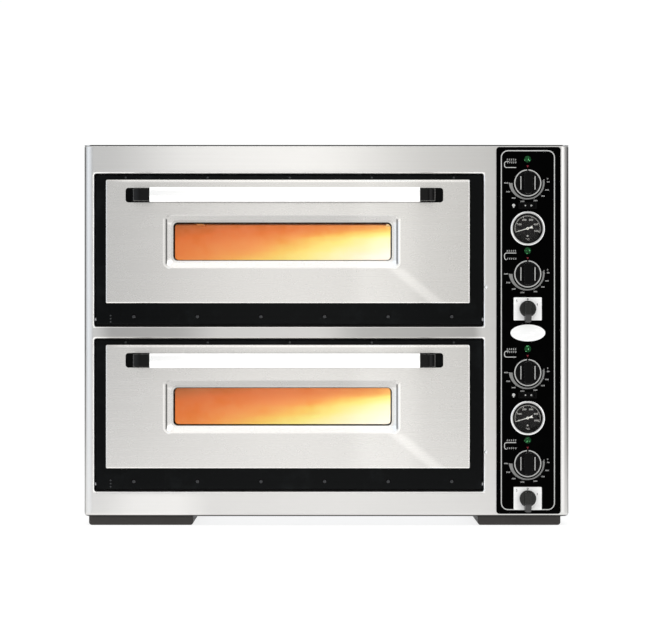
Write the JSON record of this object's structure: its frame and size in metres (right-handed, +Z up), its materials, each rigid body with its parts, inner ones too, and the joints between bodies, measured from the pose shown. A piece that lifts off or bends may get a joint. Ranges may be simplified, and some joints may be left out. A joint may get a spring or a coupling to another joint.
{
  "type": "countertop pizza oven",
  "caption": "Electric countertop pizza oven with stacked stone-floored chambers, fold-down windowed doors and a column of dials and switches at the right.",
  "frame": {"origin": "centre of the overall box's footprint, on the surface that the runners stand on", "axes": "+X to the right seen from the front, +Y from the front to the back, +Z up; the doors face -Y"},
  "size_m": [0.95, 0.882, 0.745],
  "materials": {
    "stainless": "brushed satin stainless sheet",
    "handle_steel": "fine polished stainless",
    "aluminised_sheet": "heat-tinted aluminised steel",
    "black_enamel": "glossy black enamel",
    "panel_black": "satin black with white print",
    "runner_paint": "dark brown-grey paint",
    "black_plastic": "satin black plastic",
    "bracket_plastic": "black glass-filled plastic",
    "white_plastic": "white",
    "green_lens": "translucent green",
    "window_glass": "clear heat-resistant glass",
    "dial_glass": "clear glass",
    "chrome_trim": "polished rim",
    "dial_black": "matt black dial with white scale",
    "needle_white": "white",
    "firebrick": "baked fireclay tile",
    "element_steel": "dark oxidised tube",
    "zinc_steel": "zinc plated",
    "spring_steel": "oiled spring wire",
    "mineral_wool": "compressed mineral wool",
    "lamp_porcelain": "porcelain holder and glass dome",
    "gland_plastic": "black nylon"
  },
  "bodies": {
    "casing": {"back_panel": "stainless", "baking_stones": "firebrick", "base_pan": "aluminised_sheet", "base_runners": "runner_paint", "bottom_heating_elements": "element_steel", "cable_gland": "gland_plastic", "casing_screws": "zinc_steel", "chamber_lamps": "lamp_porcelain", "control_panel": "panel_black", "control_partition": "aluminised_sheet", "front_fascia": "stainless", "hinge_brackets": "zinc_steel", "hinge_pins": "zinc_steel", "insulation": "mineral_wool", "left_side_panel": "stainless", "light_switch_frames": "bracket_plastic", "lower_chamber_liner": "aluminised_sheet", "main_switch_bodies": "bracket_plastic", "main_switch_plates": "white_plastic", "pilot_lamps": "green_lens", "right_side_panel": "stainless", "steam_outlets": "stainless", "terminal_block": "white_plastic", "thermometer_cases": "chrome_trim", "thermometer_dials": "dial_black", "thermometer_lenses": "dial_glass", "thermostats": "zinc_steel", "top_heating_elements": "element_steel", "top_panel": "stainless", "upper_chamber_liner": "aluminised_sheet"},
    "upper_door": {"upper_door_tray": "black_enamel", "upper_door_face_panel": "stainless", "upper_door_inner_panel": "aluminised_sheet", "upper_door_window_panes": "window_glass", "upper_door_insulation": "mineral_wool", "upper_door_handle_bar": "handle_steel", "upper_door_handle_brackets": "bracket_plastic", "upper_door_screws": "black_enamel", "upper_door_hinge_plates": "zinc_steel", "upper_door_springs": "spring_steel"},
    "lower_door": {"lower_door_tray": "black_enamel", "lower_door_face_panel": "stainless", "lower_door_inner_panel": "aluminised_sheet", "lower_door_window_panes": "window_glass", "lower_door_insulation": "mineral_wool", "lower_door_handle_bar": "handle_steel", "lower_door_handle_brackets": "bracket_plastic", "lower_door_screws": "black_enamel", "lower_door_hinge_plates": "zinc_steel", "lower_door_springs": "spring_steel"},
    "upper_deck_top_heat_knob": {"upper_deck_top_heat_knob": "black_plastic"},
    "upper_deck_bottom_heat_knob": {"upper_deck_bottom_heat_knob": "black_plastic"},
    "upper_deck_main_switch_handle": {"upper_deck_main_switch_handle": "black_plastic"},
    "upper_deck_light_rocker": {"upper_deck_light_rocker": "black_plastic"},
    "upper_deck_thermometer_needle": {"upper_deck_thermometer_needle": "needle_white"},
    "lower_deck_top_heat_knob": {"lower_deck_top_heat_knob": "black_plastic"},
    "lower_deck_bottom_heat_knob": {"lower_deck_bottom_heat_knob": "black_plastic"},
    "lower_deck_main_switch_handle": {"lower_deck_main_switch_handle": "black_plastic"},
    "lower_deck_light_rocker": {"lower_deck_light_rocker": "black_plastic"},
    "lower_deck_thermometer_needle": {"lower_deck_thermometer_needle": "needle_white"}
  },
  "joints": [
    {"name": "upper_door_hinge", "type": "hinge", "parent": "casing", "child": "upper_door", "pos_m": [-0.0735, -0.376, 0.4035], "axis": [1, 0, 0], "range_deg": [0, 90], "stiffness_Nm_per_rad": 2, "springref_deg": -57.3},
    {"name": "lower_door_hinge", "type": "hinge", "parent": "casing", "child": "lower_door", "pos_m": [-0.0735, -0.376, 0.0805], "axis": [1, 0, 0], "range_deg": [0, 90], "stiffness_Nm_per_rad": 2, "springref_deg": -57.3},
    {"name": "upper_deck_top_heat_knob_turn", "type": "hinge", "parent": "casing", "child": "upper_deck_top_heat_knob", "pos_m": [0.3938, -0.3915, 0.67028], "axis": [0, 1, 0], "range_deg": [0, 270]},
    {"name": "upper_deck_bottom_heat_knob_turn", "type": "hinge", "parent": "casing", "child": "upper_deck_bottom_heat_knob", "pos_m": [0.3938, -0.3915, 0.49221], "axis": [0, 1, 0], "range_deg": [0, 270]},
    {"name": "upper_deck_main_switch_handle_turn", "type": "hinge", "parent": "casing", "child": "upper_deck_main_switch_handle", "pos_m": [0.3938, -0.3915, 0.42393], "axis": [0, 1, 0], "range_deg": [0, 60]},
    {"name": "upper_deck_light_rocker_tilt", "type": "hinge", "parent": "casing", "child": "upper_deck_light_rocker", "pos_m": [0.3938, -0.3895, 0.62617], "axis": [0, 0, 1], "range_deg": [0, 12]},
    {"name": "upper_deck_thermometer_needle_turn", "type": "hinge", "parent": "casing", "child": "upper_deck_thermometer_needle", "pos_m": [0.3938, -0.3915, 0.58134], "axis": [0, 1, 0], "range_deg": [0, 216], "stiffness_Nm_per_rad": 0.0005},
    {"name": "lower_deck_top_heat_knob_turn", "type": "hinge", "parent": "casing", "child": "lower_deck_top_heat_knob", "pos_m": [0.3938, -0.3915, 0.29915], "axis": [0, 1, 0], "range_deg": [0, 270]},
    {"name": "lower_deck_bottom_heat_knob_turn", "type": "hinge", "parent": "casing", "child": "lower_deck_bottom_heat_knob", "pos_m": [0.3938, -0.3915, 0.12108], "axis": [0, 1, 0], "range_deg": [0, 270]},
    {"name": "lower_deck_main_switch_handle_turn", "type": "hinge", "parent": "casing", "child": "lower_deck_main_switch_handle", "pos_m": [0.3938, -0.3915, 0.0528], "axis": [0, 1, 0], "range_deg": [0, 60]},
    {"name": "lower_deck_light_rocker_tilt", "type": "hinge", "parent": "casing", "child": "lower_deck_light_rocker", "pos_m": [0.3938, -0.3895, 0.25504], "axis": [0, 0, 1], "range_deg": [0, 12]},
    {"name": "lower_deck_thermometer_needle_turn", "type": "hinge", "parent": "casing", "child": "lower_deck_thermometer_needle", "pos_m": [0.3938, -0.3915, 0.21021], "axis": [0, 1, 0], "range_deg": [0, 216], "stiffness_Nm_per_rad": 0.0005}
  ]
}
